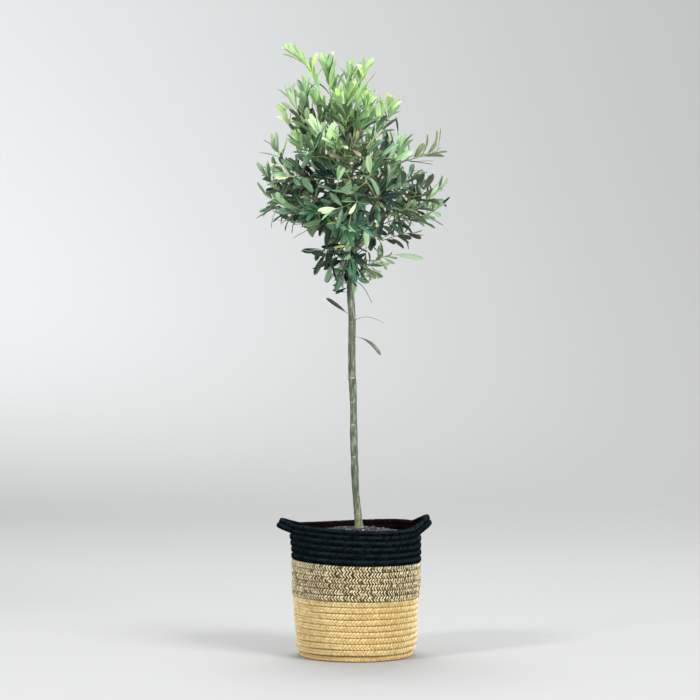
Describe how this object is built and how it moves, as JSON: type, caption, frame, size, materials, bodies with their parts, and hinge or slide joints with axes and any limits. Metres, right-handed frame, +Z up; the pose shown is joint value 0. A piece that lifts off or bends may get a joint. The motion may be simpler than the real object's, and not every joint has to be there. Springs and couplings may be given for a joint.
{
  "type": "potted olive tree",
  "caption": "Young olive standard with a slender clear trunk and a loose round leafy head, planted in a coiled rope basket with two ear handles.",
  "frame": {"origin": "centre of the basket's flat underside", "axes": "+Z up along the trunk; +X to the right, towards one ear handle; -Y is the front"},
  "size_m": [0.3146, 0.281, 0.9895],
  "materials": {
    "straw_rope": "matte",
    "speckled_rope": "matte",
    "dark_rope": "matte",
    "soil": "matte",
    "bark": "matte",
    "foliage": "satin"
  },
  "bodies": {
    "root": {"basket_straw_band": "straw_rope", "basket_speckled_band": "speckled_rope", "basket_dark_band": "dark_rope", "rim_front": "dark_rope", "rim_back": "dark_rope", "handle_left": "dark_rope", "handle_right": "dark_rope", "soil": "soil", "trunk": "bark", "bough_leader": "bark", "bough_left": "bark", "bough_right": "bark", "bough_front": "bark", "bough_back": "bark", "bough_upper_left": "bark", "bough_upper_right": "bark", "mass_front": "foliage", "mass_back": "foliage", "mass_left": "foliage", "mass_right": "foliage", "mass_front_left": "foliage", "mass_front_right": "foliage", "mass_back_left": "foliage", "mass_back_right": "foliage", "mass_upper_right": "foliage", "mass_upper_left": "foliage", "mass_upper_front": "foliage", "mass_upper_back": "foliage", "mass_top": "foliage", "mass_lower_left": "foliage", "mass_lower_right": "foliage", "mass_lower_front": "foliage", "mass_lower_back": "foliage", "shoot_top_left": "foliage", "shoot_top": "foliage", "shoot_top_right": "foliage", "shoot_right": "foliage", "shoot_left": "foliage", "tuft_right": "foliage", "tuft_left": "foliage"}
  },
  "joints": []
}
